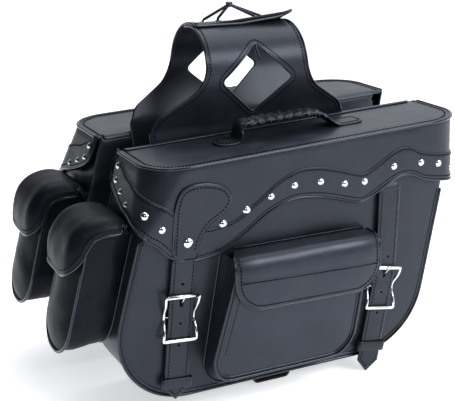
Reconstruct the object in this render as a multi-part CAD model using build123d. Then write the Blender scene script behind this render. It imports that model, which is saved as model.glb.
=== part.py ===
from build123d import *
import math
import os

os.makedirs("parts", exist_ok=True)

# Pair of throw-over motorcycle saddlebags joined by a leather yoke, in millimetres.
# +X points to the motorcycle's rear, +Y to its right and +Z up.  The pieces are drawn with
# z = 0 at the lids, for the left bag (y < 0), then moved down so that the origin is the
# middle of the yoke's underside, where it rests on the seat.  "depth" is the distance from
# the mid-plane between the two bags; the right bag is the left one mirrored.

# ---- driving dimensions -------------------------------------------------------------
seat_height = 148.5        # yoke's underside above the lid datum
bag_gap = 70.0             # between the two bags' flat backs
bag_depth = 129.0          # back face to front face
bag_height = 325.0         # lid datum to the bottom
leather = 3.0              # lined and stiffened leather
thin_leather = 2.5         # pocket and skirt leather
board = 5.0                # stiffened back panel
hinge_gap = 1.0            # clearance between pieces that hinge on each other

back_depth = bag_gap / 2
front_depth = back_depth + bag_depth
inner_back = back_depth + board

body_left_top, body_left_lean = -199.0, 0.26
body_right_top, body_right_lean = 264.0, 0.17
body_front_corner, body_rear_corner = 95.0, 105.0

lid_datum, lid_slope = 5.7, 0.0524
lid_thickness = 5.0
lid_inner_depth = 43.0
lid_outer_depth = front_depth + 7.0
skirt_left, skirt_left_lean = -205.0, 0.33
skirt_right, skirt_right_lean = 284.0, 0.13
skirt_top_z, skirt_top_radius = 30.0, 65.0
skirt_low_z, skirt_low_radius = -135.0, 4.0

flange_depth = 58.0        # height of the yoke's flange on the bag's back
yoke_thickness = 3.0
arch_centre_z, arch_radius = 90.4, 59.6
arch_foot_depth, arch_foot_z, arch_knee_z = 36.2, 16.0, 70.0
yoke_foot, yoke_band = 156.0, 77.0
yoke_flare_z, right_rear_flare_z = 74.0, 92.0
diamond_z, diamond_half_width, diamond_half_height = 79.0, 58.0, 50.0
right_rear_tip = 64.0

strap_width = 35.0
strap_depth = front_depth + 7.4
bar_depth = strap_depth - 3.5        # buckle centre bar, behind the strap
frame_depth = strap_depth + 6.3      # buckle end bars, in front of the strap
buckle_half_height, buckle_half_width, buckle_waist = 31.0, 24.0, 21.5
buckle_wire, centre_bar = 2.1, 1.5
prong_wire, prong_ring, ring_clearance = 1.1, 2.7, 0.1
snap_radius, snap_bore, snap_post = 6.0, 3.4, 2.2

stud_radius, stud_height = 6.0, 3.5
piping_radius = 2.4

pocket_depth = 38.0
end_pocket_depth = 66.0
lace_radius = 2.0
far = 600.0                # larger than the whole object

# Each strap hangs from the lid: (x, z) of its top edge's middle and of its buckle, the
# lean of its lower end towards the front in degrees, and how far below the buckle's
# middle the tip, keeper and snap are.
straps = {
    "front": dict(top=(-166.3, -126.7), buckle=(-173.5, -206.0), lean=4.6, tip=119.0, keeper=94.0, snap=70.0),
    "rear": dict(top=(154.0, -73.0), buckle=(147.5, -221.0), lean=9.4, tip=133.0, keeper=92.0, snap=62.0),
}

# Lower edge of the lid's skirt along the bag's front, front to rear.
skirt_edge = [(-229, -71), (-210, -98), (-183, -122), (-157, -129), (-133, -128), (-96, -117),
              (-51, -84), (-5, -66), (43, -69), (84, -80), (110, -84), (143, -68), (168, -56),
              (194, -56), (231, -69), (268, -77)]
# Lower edge of the skirt round each end: (depth, z).
end_edge = [(44, 0), (46, -36), (62, -50), (90, -61), (118, -69), (136, -71)]
front_studs = [(-196, -81), (-109, -86), (-74, -72), (-38, -58), (-2, -47), (39, -47), (78, -55), (111, -56),
               (160, -40), (207, -40), (238, -45)]
end_studs = [(60, -21), (66, -39), (90, -49), (118, -59)]


# ---- drawing helpers ----------------------------------------------------------------
def lid_z(x):
    return lid_datum + lid_slope * x


def polygon(points, rounded=()):
    """Flat polygon; rounded holds (corner, radius) pairs."""
    face = make_face(Polyline(*points, close=True))
    for (u, v), radius in rounded:
        corner = face.vertices().sort_by_distance((u, v, 0))[0]
        face = fillet(corner, radius)
    return face


def slab(face, near, far_depth):
    """Extrude an (x, z) face of the left bag from one depth to another."""
    return extrude(Plane.XZ.offset(near) * face, far_depth - near)


def across(points, x0, x1, rounded=()):
    """Extrude a (y, z) outline along X."""
    face = polygon(points, rounded)
    return extrude(Plane.YZ.offset(x0) * face, x1 - x0)


def rod(start, end, radius):
    start, end = Vector(*start), Vector(*end)
    axis = end - start
    return Solid.make_cylinder(radius, axis.length, Plane(origin=start, z_dir=axis))


def dome(radius, height):
    """Domed stud head on the plane z = 0."""
    ball = (radius**2 + height**2) / (2 * height)
    cap = Pos(0, 0, height - ball) * Sphere(ball)
    return cap & (Pos(0, 0, height / 2) * Cylinder(radius, height))


def on_surface(point, normal):
    return Plane(origin=point, z_dir=normal).location


def above_plane(height):
    """Everything above the lid's sloping top, shifted by height."""
    tilt = Plane(origin=(0, 0, lid_datum + height), z_dir=(-lid_slope, 0, 1))
    return tilt.location * Pos(0, 0, far / 2) * Box(2 * far, 2 * far, far)


# ---- bag body -----------------------------------------------------------------------
def body_left(z):
    return body_left_top + body_left_lean * z


def body_right(z):
    return body_right_top + body_right_lean * z


def body_outline(inset, top):
    """Bag's outline; inset is positive inwards and top is the height above the lid plane."""
    low = -bag_height + inset
    left, right = body_left_top + inset, body_right_top - inset
    corners = [(left + body_left_lean * low, low), (right + body_right_lean * low, low)]
    high_left = lid_z(left) + top
    high_right = lid_z(right) + top
    points = [(left + body_left_lean * high_left, high_left), corners[0], corners[1],
              (right + body_right_lean * high_right, high_right)]
    radii = (body_front_corner - inset, body_rear_corner - inset)
    return polygon(points, list(zip(corners, radii)))


def corner_wedges():
    """Cut the front panel and gusset back under the lid's rounded corners."""
    cuts = []
    top = -8.0
    for edge, size, low in ((body_left, 37.0, -95.0), (body_right, -16.0, -70.0)):
        a = Vector(edge(top) + size, -front_depth, top)
        b = Vector(edge(top), -front_depth + abs(size), top)
        c = Vector(edge(low), -front_depth, low)
        normal = (b - a).cross(c - a)
        if normal.Y > 0:
            normal = -normal
        cuts.append(on_surface(a, normal) * Pos(0, 0, far / 4) * Box(far, far, far / 2))
    return cuts


rim = -lid_thickness - hinge_gap     # body's top edge below the lid's top plane


def back_panel():
    panel = slab(body_outline(0, rim), back_depth, inner_back)
    rebate = Box(2 * far, 2 * leather, far)
    return panel - Pos(0, -back_depth, far / 2 - flange_depth - 2) * rebate


def gusset():
    band = body_outline(0, rim) - body_outline(leather, 40)
    shell = slab(band, inner_back, front_depth - leather)
    for cut in corner_wedges():
        shell -= cut
    return shell


def front_panel():
    panel = slab(body_outline(0, rim), front_depth - leather, front_depth)
    for cut in corner_wedges():
        panel -= cut
    return panel


def body_piping():
    out = piping_radius + 0.2
    low = -bag_height - out
    left = body_left_top - out
    right = body_right_top + out
    points = [(left - body_left_lean * 92, -92), (left + body_left_lean * low, low),
              (right + body_right_lean * low, low), (right - body_right_lean * 80, -80)]
    radii = [body_front_corner + out, body_rear_corner + out]
    seam = Plane.XZ.offset(front_depth - leather / 2)
    path = seam * FilletPolyline(*points, radius=radii)
    return sweep(Plane(origin=path @ 0, z_dir=path % 0) * Circle(piping_radius), path=path)


# ---- lid ----------------------------------------------------------------------------
def skirt_block(inset):
    """Solid inside the lid and skirt: rounded corners at the top, sharp ones at the bottom."""
    sections = []
    for z, radius in ((skirt_top_z, skirt_top_radius), (skirt_low_z, skirt_low_radius)):
        x0 = skirt_left + skirt_left_lean * z + inset
        x1 = skirt_right + skirt_right_lean * z - inset
        y0, y1 = -lid_outer_depth + inset, -lid_inner_depth
        corners = [(x0, y0), (x1, y0)]
        face = polygon([(x0, y1), corners[0], corners[1], (x1, y1)],
                       [(corner, radius - inset) for corner in corners])
        sections.append(Pos(0, 0, z) * face)
    return loft(sections, ruled=True)


def lid_top():
    return skirt_block(0) - above_plane(0) - (Box(2 * far, 2 * far, 2 * far) - above_plane(-lid_thickness))


def lid_skirt():
    ring = skirt_block(0) - skirt_block(thin_leather)
    ring -= above_plane(-lid_thickness)
    wave = Spline(*skirt_edge)
    border = Polyline(skirt_edge[-1], (far, skirt_edge[-1][1]), (far, -far), (-far, -far),
                      (-far, skirt_edge[0][1]), skirt_edge[0])
    ring -= slab(make_face([wave, *border.edges()]), lid_outer_depth - skirt_top_radius + 20, far)
    ends = [(-depth, z) for depth, z in end_edge]
    ring -= across(ends + [(ends[-1][0], -far), (0, -far), (0, 0)], -far, far)
    return ring


def lid_studs():
    head = dome(stud_radius, stud_height)
    places = [on_surface((x, -lid_outer_depth - 0.05, z), (0, -1, 0)) for x, z in front_studs]
    for start, lean, side in ((skirt_left, skirt_left_lean, -1), (skirt_right, skirt_right_lean, 1)):
        for depth, z in end_studs:
            places.append(on_surface((start + lean * z + side * 0.1, -depth, z), (side, 0, -side * lean)))
        z = -62 if side < 0 else -57
        taper = (skirt_top_radius - skirt_low_radius) / (skirt_top_z - skirt_low_z)
        bevel = (1 - math.sqrt(0.5)) * (skirt_low_radius + taper * (z - skirt_low_z)) - 0.1
        corner = (start + lean * z - side * bevel, -lid_outer_depth + bevel, z)
        places.append(on_surface(corner, (side, -1, 2 * taper * (1 - math.sqrt(0.5)) - side * lean)))
    return Compound([place * head for place in places])


def strap_base():
    side = Polyline((-147.7, -114), (-148.6, -127.2), (-183.4, -124.1), (-181, -91))
    top = Spline((-181, -91), (-177, -55), (-166, -32), (-138, -27), (-109, -35), (-98, -52),
                 (-107, -68), (-129, -82), (-142, -98), (-147.7, -114))
    plate = slab(make_face([top, *side.edges()]), lid_outer_depth + 0.05, lid_outer_depth + leather)
    rivet = on_surface((-161, -lid_outer_depth - leather, -103), (0, -1, 0)) * dome(7, 4)
    return plate + rivet


def handle():
    top, low = 25.0, 0.1
    profile = [(-87, low), (-87, low + leather), (-52, low + leather), (-46, top), (80, top),
               (104, low + leather), (150, low + leather), (150, low), (102.5, low),
               (78.5, top - leather), (-43.5, top - leather), (-49.5, low)]
    strap = slab(polygon(profile), 77, 115)
    plan = Pos(31.5, -96, 0) * RectangleRounded(237, 38, 17)
    strap &= extrude(plan, 2 * top, both=True)
    tilt = math.degrees(math.atan(lid_slope))
    return Location((0, 0, lid_datum), (0, -tilt, 0)) * strap


# ---- straps, buckles and snaps ------------------------------------------------------
def hang(strap, shape):
    """Place a shape drawn with the buckle's centre at x = z = 0."""
    x, z = strap["buckle"]
    return Location((x, 0, z), (0, strap["lean"], 0)) * shape


def strap_leather(strap):
    half, tip = strap_width / 2, strap["tip"]
    rise = Vector(strap["top"][0] - strap["buckle"][0], strap["top"][1] - strap["buckle"][1])
    rise = rise.rotate(Axis.Z, strap["lean"])
    edge = rise.normalized().rotate(Axis.Z, -90) * half
    kink = buckle_half_height
    low, high = rise - edge, rise + edge
    outline = polygon([(low.X, low.Y), (high.X, high.Y), (half, kink), (half, 17 - tip), (0, -tip),
                       (-half, 17 - tip), (-half, kink)])
    for height in (47, -8, -40):
        outline -= Pos(0, height) * Circle(1.6)
    outline -= Pos(0, 20) * Rectangle(4.4, 10)
    band = slab(outline, strap_depth, strap_depth + leather)
    top = band.edges().sort_by_distance((rise.X, -strap_depth - leather / 2, rise.Y))[:2]
    return hang(strap, fillet(top, leather / 2 - 0.01))


def buckle(strap):
    frame = rod((-buckle_waist, -bar_depth, 0), (buckle_waist, -bar_depth, 0), centre_bar)
    for end in (-1, 1):
        z = end * buckle_half_height
        corners = [(side * buckle_half_width, -frame_depth, z) for side in (-1, 1)]
        frame += rod(*corners, buckle_wire)
        for side, corner in zip((-1, 1), corners):
            frame += Pos(*corner) * Sphere(buckle_wire)
            frame += rod((side * buckle_waist, -bar_depth, 0), corner, buckle_wire)
    for side in (-1, 1):
        frame += Pos(side * buckle_waist, -bar_depth, 0) * Sphere(buckle_wire)
    return hang(strap, frame)


def prong(strap):
    ring = Rot(0, 90, 0) * (Cylinder(prong_ring, 3) - Cylinder(centre_bar + ring_clearance, 3))
    tongue = Pos(0, -bar_depth, 0) * ring
    bends = [(bar_depth + 1.0, 2.0), (bar_depth + 1.2, 16.0), (bar_depth + 9.1, 24.0),
             (bar_depth + 13.3, 30.0), (bar_depth + 13.3, 34.0)]
    points = [(0, -depth, z) for depth, z in bends]
    for start, end in zip(points, points[1:]):
        tongue += rod(start, end, prong_wire)
        tongue += Pos(*end) * Sphere(prong_wire)
    return hang(strap, tongue)


def keeper(strap):
    middle = strap_depth + leather / 2
    wall = 1.8
    inside = Box(strap_width + 1.6, leather + 0.6, 20)
    loop = Box(strap_width + 1.6 + 2 * wall, leather + 0.6 + 2 * wall, 14) - inside
    return hang(strap, Pos(0, -middle, -strap["keeper"]) * loop)


def snap_socket(strap):
    ring = Cylinder(snap_radius, 3.3) - Cylinder(snap_bore, 4)
    return hang(strap, Pos(0, -strap_depth + 1.7, -strap["snap"]) * Rot(90, 0, 0) * ring)


def snap_studs():
    studs = []
    for strap in straps.values():
        at = (0, -front_depth - 0.05, -strap["snap"])
        stud = rod(at, (0, at[1] - 1.2, at[2]), snap_radius)
        stud += rod(at, (0, at[1] - 4.9, at[2]), snap_post)
        studs.append(hang(strap, stud))
    return Compound(studs)


# ---- pockets ------------------------------------------------------------------------
def pocket_block(inset, front):
    """Front pocket's form: a wide base on the bag narrowing to the pocket's front."""
    base = [(-106, -100), (-141, -318), (92, -318), (122, -100)]
    face = [(-94, -100), (-146, -298), (78, -298), (108, -100)]
    shapes = []
    for points, depth, radii in ((base, front_depth + 0.1, (30, 40)), (face, front, (28, 45))):
        moved = [(x + (inset if x < 0 else -inset), z + (inset if z < -150 else 20)) for x, z in points]
        outline = polygon(moved, [(moved[1], radii[0] - inset), (moved[2], radii[1] - inset)])
        shapes.append(Plane.XZ.offset(depth) * outline)
    return loft(shapes, ruled=True)


def front_pocket():
    front = front_depth + pocket_depth
    shell = pocket_block(0, front) - pocket_block(thin_leather, front - thin_leather)
    mouth = [(-front_depth + 10, -128), (-front_depth, -128), (-front - 10, -147), (-front - 10, far), (-100, far)]
    tab = across([(-front_depth - 0.1, -122), (-front_depth - 8.6, -122), (-front_depth - 8.6, -124.5),
                  (-front_depth - 0.1, -124.5)], -92, 117)
    back = slab(polygon([(-92, -122), (-92, -140), (117, -140), (117, -122)]), front_depth + 0.1, front_depth + 2)
    return shell - across(mouth, -far, far) + tab + back


def front_pocket_flap():
    front = front_depth + pocket_depth
    root = front_depth + 9
    profile = [(-root, -121.7), (-root - 16, -124), (-front - 3, -133), (-front - 6.5, -146), (-front - 6.5, -206),
               (-front - 3.5, -206), (-front - 3.5, -147), (-front - 1, -136.5), (-root - 15, -127.2),
               (-root, -124.7)]
    flap = across(profile, -107, 119, [(profile[0], 1.4), (profile[-1], 1.4)])
    corners = [((-107, -206), 42), ((119, -206), 42)]
    outline = polygon([(-94, -100), (-107, -134), (-107, -206), (119, -206), (119, -100)], corners)
    return flap & slab(outline, front_depth, front + 20)


def end_pocket_form(inset):
    low, high = -252.0 + inset, (-83.0 if inset == 0 else 0.0)
    near, away = 140.0 - inset, 42.0 + inset
    corners = [(-near, low), (-away, low)]
    form = across([(-near, high), corners[0], corners[1], (-away, high)], -far, 0,
                  [(corner, 47 - inset) for corner in corners])
    outward = end_pocket_depth - inset
    lean = polygon([(body_left(20) + 30, 20), (body_left(-far) + 30, -far),
                    (body_left(-far) - outward, -far), (body_left(20) - outward, 20)])
    return form & slab(lean, 0, far)


def end_pocket():
    shell = end_pocket_form(0) - end_pocket_form(thin_leather)
    tab = slab(polygon([(-200, -73.3), (-233.6, -73.3), (-233.6, -75.8), (-222, -75.8), (-226, -95), (-200, -95)]),
               46, 134)
    strip = slab(polygon([(-200, -78), (-222.5, -78), (-226.5, -95), (-200, -95)]), 42, 140)
    return shell + tab + strip - slab(body_outline(-0.2, 60), 0, far)


def end_pocket_flap():
    front = end_pocket_depth
    profile = [(-234, -73), (-281, -74.5), (-295, -85), (body_left(-140) - front - 5.5, -140),
               (body_left(-140) - front - 2.5, -140), (-292, -87), (-279.5, -77.5), (-234, -76)]
    flap = slab(polygon(profile, [(profile[0], 1.4), (profile[-1], 1.4)]), 38, 144)
    outline = across([(-144, -60), (-144, -140), (-38, -140), (-38, -60)], -far, 0,
                     [((-144, -140), 46), ((-38, -140), 34)])
    return flap & outline


def tie_loop():
    loop = Pos(-17, -337.3) * (RectangleRounded(62, 24, 9) - RectangleRounded(57, 19, 6.5))
    return slab(loop, 118, 143)


# ---- yoke and lace ------------------------------------------------------------------
def yoke_outline(rear_flare_z, rear_tip):
    front = [(-yoke_foot, 10), (-146, 32), (-80, yoke_flare_z), (-yoke_band, 200)]
    rear = [(yoke_foot, 10), (146, 32), (80, rear_flare_z), (yoke_band, 200)]
    rounded = [(front[1], 25), (front[2], 55), (rear[1], 25), (rear[2], 55)]
    blank = polygon(front + rear[::-1], rounded)
    tips = [(0, diamond_z + diamond_half_height), (rear_tip, diamond_z),
            (0, diamond_z - diamond_half_height), (-diamond_half_width, diamond_z)]
    return blank, polygon(tips, [(tip, 7) for tip in tips])


def lace_holes():
    """Eyelet places on the overlap: (x, angle round the arch from its top)."""
    return [(-48, 17), (-30, 7), (30, 7), (48, 17)]


def around_arch(x, angle, radius):
    """Frame on the arch, with its z axis outwards."""
    out = Vector(0, math.sin(math.radians(angle)), math.cos(math.radians(angle)))
    return Plane(origin=Vector(x, 0, arch_centre_z) + out * radius, z_dir=out).location


def yoke_half(radius, side, overlap, rear_flare_z, rear_tip):
    """One leather half: side is -1 for the left bag; it reaches past the top by overlap degrees."""
    half = yoke_thickness / 2
    knee_y = side * math.sqrt(radius**2 - (arch_centre_z - arch_knee_z) ** 2)
    foot_y = side * arch_foot_depth
    web = [(foot_y - half, arch_foot_z), (foot_y + half, arch_foot_z), (knee_y + half * 1.08, arch_knee_z),
           (knee_y - half * 1.08, arch_knee_z)]
    ring = Pos(0, arch_centre_z) * (Circle(radius + half) - Circle(radius - half))
    end = math.radians(overlap)
    sector = polygon([(0, arch_centre_z), (-side * far * math.sin(end), arch_centre_z + far * math.cos(end)),
                      (side * far, 2 * far), (side * far, arch_knee_z - 0.01), (0, arch_knee_z - 0.01)])
    profile = polygon(web) + (ring & sector)
    band = extrude(Plane.YZ.offset(-200) * profile, 400)
    blank, diamond = yoke_outline(rear_flare_z, rear_tip)
    band &= slab(blank, -100, 100)
    band -= slab(diamond, 20, 100) if side < 0 else slab(diamond, -100, -20)
    for x, angle in lace_holes():
        band -= around_arch(x, angle, radius) * Cylinder(2.7, 12)
    return band


def yoke_flange():
    low = -flange_depth
    top = arch_foot_z - 1
    outline = polygon([(-yoke_foot, top), (-yoke_foot + 8, low), (yoke_foot - 8, low), (yoke_foot, top)],
                      [((-yoke_foot + 8, low), 14), ((yoke_foot - 8, low), 14)])
    return slab(outline, back_depth, back_depth + leather)


outer_radius = arch_radius + 3.4      # the right half lies over the left one
eyelet_radius = outer_radius + yoke_thickness / 2
knot_place = (-16.0, 0.0, 178.0)


def eyelets():
    ring = Pos(0, 0, 0.6) * (Cylinder(5, 1.1) - Cylinder(2.7, 2))
    return Compound([around_arch(x, angle, eyelet_radius) * ring for x, angle in lace_holes()])


def lace():
    """Four taut strands, from under the eyelets up to the knot."""
    strands = []
    knot = Vector(*knot_place)
    for x, angle in lace_holes():
        under = around_arch(x, angle, eyelet_radius - 9).position
        bend = around_arch(x, angle, eyelet_radius + 3.5).position
        end = knot + (bend - knot).normalized() * 5.2
        path = FilletPolyline(under, bend, end, radius=4)
        strands.append(sweep(Plane(origin=path @ 0, z_dir=path % 0) * Circle(lace_radius), path=path))
    return Compound(strands)


def lace_knot():
    return Pos(*knot_place) * Sphere(5.0)


def lace_tail():
    """Loose end that hangs from an eyelet inside the arch."""
    start = around_arch(30, 7, eyelet_radius - 9).position - (0, 0, 0.5)
    route = [start, start - (1, 0, 18), start + (3, 5, -36), start + (12, 7, -51)]
    path = FilletPolyline(*route, radius=30)
    return sweep(Plane(origin=path @ 0, z_dir=path % 0) * Circle(lace_radius), path=path)


# ---- write every piece --------------------------------------------------------------
def save(shape, name):
    export_step(Pos(0, 0, -seat_height) * shape, f"parts/{name}.step")


bag_pieces = {
    "back_panel": back_panel(),
    "gusset": gusset(),
    "front_panel": front_panel(),
    "body_piping": body_piping(),
    "lid_top": lid_top(),
    "lid_skirt": lid_skirt(),
    "lid_studs": lid_studs(),
    "front_strap_base": strap_base(),
    "snap_studs": snap_studs(),
    "handle": handle(),
    "front_pocket": front_pocket(),
    "front_pocket_flap": front_pocket_flap(),
    "end_pocket": end_pocket(),
    "end_pocket_flap": end_pocket_flap(),
    "tie_loop": tie_loop(),
    "yoke_flange": yoke_flange(),
}
for place, strap in straps.items():
    bag_pieces[f"{place}_strap"] = strap_leather(strap)
    bag_pieces[f"{place}_buckle"] = buckle(strap)
    bag_pieces[f"{place}_prong"] = prong(strap)
    bag_pieces[f"{place}_keeper"] = keeper(strap)
    bag_pieces[f"{place}_snap_socket"] = snap_socket(strap)

for piece_name, piece in bag_pieces.items():
    save(piece, f"left_{piece_name}")
    save(mirror(piece, Plane.XZ), f"right_{piece_name}")

save(yoke_half(arch_radius, -1, 20, yoke_flare_z, diamond_half_width), "left_yoke")
save(yoke_half(outer_radius, 1, 13, right_rear_flare_z, right_rear_tip), "right_yoke")
save(eyelets(), "eyelets")
save(lace(), "lace")
save(lace_knot(), "lace_knot")
save(lace_tail(), "lace_tail")
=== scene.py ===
import math

import bmesh
import bpy
import numpy as np
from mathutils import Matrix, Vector, geometry


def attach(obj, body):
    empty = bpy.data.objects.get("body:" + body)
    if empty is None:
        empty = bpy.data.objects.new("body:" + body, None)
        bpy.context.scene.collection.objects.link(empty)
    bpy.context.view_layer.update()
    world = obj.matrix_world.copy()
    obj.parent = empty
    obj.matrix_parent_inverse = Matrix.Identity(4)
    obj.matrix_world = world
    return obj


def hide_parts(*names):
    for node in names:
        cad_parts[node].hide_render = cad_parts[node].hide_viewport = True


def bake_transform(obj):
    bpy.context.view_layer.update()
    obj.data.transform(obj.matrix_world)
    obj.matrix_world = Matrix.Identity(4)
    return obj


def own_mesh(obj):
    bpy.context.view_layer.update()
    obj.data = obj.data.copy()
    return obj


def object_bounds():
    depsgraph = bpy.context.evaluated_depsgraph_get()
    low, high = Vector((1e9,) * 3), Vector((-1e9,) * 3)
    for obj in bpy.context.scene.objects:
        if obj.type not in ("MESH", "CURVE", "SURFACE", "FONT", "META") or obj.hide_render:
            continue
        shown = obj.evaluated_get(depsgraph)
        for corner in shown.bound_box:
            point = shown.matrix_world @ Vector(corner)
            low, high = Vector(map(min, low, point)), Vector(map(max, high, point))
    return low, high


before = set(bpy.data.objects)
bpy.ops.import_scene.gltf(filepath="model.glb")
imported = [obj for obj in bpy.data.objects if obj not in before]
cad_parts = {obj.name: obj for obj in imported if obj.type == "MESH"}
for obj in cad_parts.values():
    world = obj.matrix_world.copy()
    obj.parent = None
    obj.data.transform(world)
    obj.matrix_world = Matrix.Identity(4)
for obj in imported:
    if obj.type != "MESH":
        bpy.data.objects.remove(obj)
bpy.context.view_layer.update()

# Every leather piece is drawn flat as an outline and laid on a curved surface.  Lengths
# below are in millimetres: x towards the rear, d the depth from the mid-plane between the
# bags, z up from the lid datum, as the CAD source has them.
SEAT_HEIGHT = 148.5  # from the lid datum up to the frame's origin
LID_DATUM, LID_SLOPE = 5.7, 0.0524  # the lid's top at x = 0, and its rise towards the rear
WALL = 3  # leather of the body, straps, flaps and yoke
FRONT_DEPTH, BACK_DEPTH = 161, 40  # sides of the front and back panels that face the bag's inside
SKIRT_DEPTH, SKIRT_BACK = 171.0, 43.0
SKIRT_WALL = 2.5
STRAP_DEPTH, STRAP_WIDTH = 171.4, 35.0
POCKET_DEPTH, POCKET_WALL = 199.5, 2.5
END_REACH = 56  # the end pocket's face off the bag's end
HANDLE_DEPTH = 96
FLAP_SEAM = -6.5  # stitches in from a flap's edge


def to_world(points, side):
    """Bag coordinates (x, d, z) in mm to the frame in metres; side is -1 left, +1 right."""
    p = np.asarray(points, float)
    return columns(p[..., 0], side * p[..., 1], p[..., 2] - SEAT_HEIGHT) / 1000


# ---- camera and light ----
def add_object(name, data):
    obj = bpy.data.objects.new(name, data)
    bpy.context.scene.collection.objects.link(obj)
    return obj


def aim(obj, target):
    obj.rotation_mode = "QUATERNION"
    obj.rotation_quaternion = (Vector(target) - obj.location).to_track_quat("-Z", "Y")


def add_camera():
    cam = add_object("camera", bpy.data.cameras.new("camera"))
    cam.data.lens, cam.data.sensor_width = 78.4, 36
    cam.location = (-0.6508, -1.2798, 0.1881)
    aim(cam, (-0.0185, 0, -0.2629))
    bpy.context.scene.camera = cam


def add_light(name, place, size, power, tint):
    """Soft light aimed at the middle of the bags."""
    light = bpy.data.lights.new(name, "AREA")
    light.shape, light.size, light.size_y = "RECTANGLE", size[0], size[1]
    light.energy, light.color = power, tint
    obj = add_object(name, light)
    obj.location = place
    aim(obj, (0, 0, -0.25))


# ---- materials ----
class Graph:
    """The nodes of a material or world, with a short call for each kind used here."""

    def __init__(self, owner):
        owner.use_nodes = True
        self.owner, self.nodes, self.links = owner, owner.node_tree.nodes, owner.node_tree.links
        self.coords = self.nodes.new("ShaderNodeTexCoord").outputs

    def fill(self, node, inputs):
        """Links sockets to a node's inputs, and sets its other inputs to plain values."""
        for key, value in inputs.items():
            if isinstance(value, bpy.types.NodeSocket):
                self.links.new(value, node.inputs[key])
            elif value is not None:
                node.inputs[key].default_value = value
        return node.outputs

    def add(self, kind, inputs):
        return self.fill(self.nodes.new(f"ShaderNode{kind}"), inputs)

    def texture(self, kind, scale, output="Fac", **settings):
        inputs = {"Vector": self.coords["Object"], "Scale": scale, **settings}
        return self.add(f"Tex{kind}", inputs)[output]

    def ramp(self, value, low, high, start, end):
        limits = {"From Min": start, "From Max": end, "To Min": low, "To Max": high}
        return self.add("MapRange", {"Value": value, **limits})["Result"]

    def mix(self, factor, a, b):
        node = self.nodes.new("ShaderNodeMix")
        node.data_type = "RGBA"
        a, b = [(*colour, 1) if isinstance(colour, tuple) else colour for colour in (a, b)]
        return self.fill(node, {"Factor": factor, 6: a, 7: b})[2]

    def bump(self, height, strength, distance, under=None):
        inputs = {"Height": height, "Strength": strength, "Distance": distance, "Normal": under}
        return self.add("Bump", inputs)["Normal"]

    def finish(self, inputs):
        self.fill(self.nodes["Principled BSDF"], inputs)
        return self.owner


def new_material(name="unnamed"):
    return Graph(bpy.data.materials.new(name))


def scaled(colour, factor, extra=0.0):
    return tuple(min(1.0, c * factor + extra) for c in colour)


def leather(colour, rough, grain=1.0, coat=0.15, shine=0.36):
    """Grained black leather: pebble cells, fine pores, soft undulation and polished edges."""
    graph = new_material()
    pebble = graph.texture("Voronoi", 620, "Distance")
    pores = graph.texture("Noise", 1900, Detail=2.0)
    cloud = graph.texture("Noise", 14, Detail=4.0, Roughness=0.6)
    soft = graph.texture("Noise", 38, Detail=2.0, Roughness=0.5)
    rim = graph.nodes.new("ShaderNodeAttribute")
    rim.attribute_name = "rim"
    dark = scaled(colour, 0.7)
    tone = graph.mix(graph.ramp(cloud, 0, 1, 0.3, 0.7), dark, scaled(colour, 1.35, 0.004))
    cell = graph.mix(graph.ramp(pebble, 0.0, 0.35, 0.3, 0.9), tone, dark)
    waves = graph.bump(soft, 0.5, 0.0018)
    cells = graph.bump(pebble, 0.3 * grain, -0.0004, waves)
    return graph.finish({
        "Base Color": graph.mix(rim.outputs["Fac"], cell, scaled(colour, 1.5, 0.006)),
        "Roughness": graph.ramp(cloud, rough - 0.05, rough + 0.09, 0.3, 0.7),
        "Normal": graph.bump(pores, 0.12 * grain, 0.0002, cells),
        "Coat Weight": coat, "Coat Roughness": 0.62 * rough, "Coat Tint": (0.80, 0.87, 1.0, 1),
        "Specular IOR Level": shine, "Specular Tint": (0.72, 0.80, 1.0, 1)})


def metal(colour, rough):
    graph = new_material()
    smudge = graph.texture("Noise", 160, Detail=3.0)
    return graph.finish({
        "Base Color": graph.mix(smudge, scaled(colour, 0.86), colour),
        "Roughness": graph.ramp(smudge, rough * 0.6, rough * 1.7, 0.3, 0.7),
        "Normal": graph.bump(smudge, 0.05, 0.0003), "Metallic": 1.0})


def thread_material(colour):
    graph = new_material()
    twist = graph.texture("Wave", 900, Distortion=1.5)
    return graph.finish({
        "Base Color": graph.mix(twist, colour, scaled(colour, 1.8)),
        "Normal": graph.bump(twist, 0.5, 0.0002), "Roughness": 0.8, "Specular IOR Level": 0.08})


def webbing_material(colour):
    graph = new_material()
    warp = graph.texture("Wave", 420, Distortion=0.4)
    weft = graph.texture("Noise", 700, Detail=2.0)
    return graph.finish({
        "Base Color": graph.mix(warp, colour, scaled(colour, 1.9)), "Roughness": 0.7,
        "Normal": graph.bump(weft, 0.3, 0.0003, graph.bump(warp, 0.6, 0.0004))})


def studio_material(name, grey, rough, glow):
    """Pale floor or backdrop."""
    return new_material(name).finish({"Base Color": (grey, grey, grey + 0.01, 1), "Roughness": rough,
                                      "Emission Color": (0.97, 0.98, 1.0, 1), "Emission Strength": glow})


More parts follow.
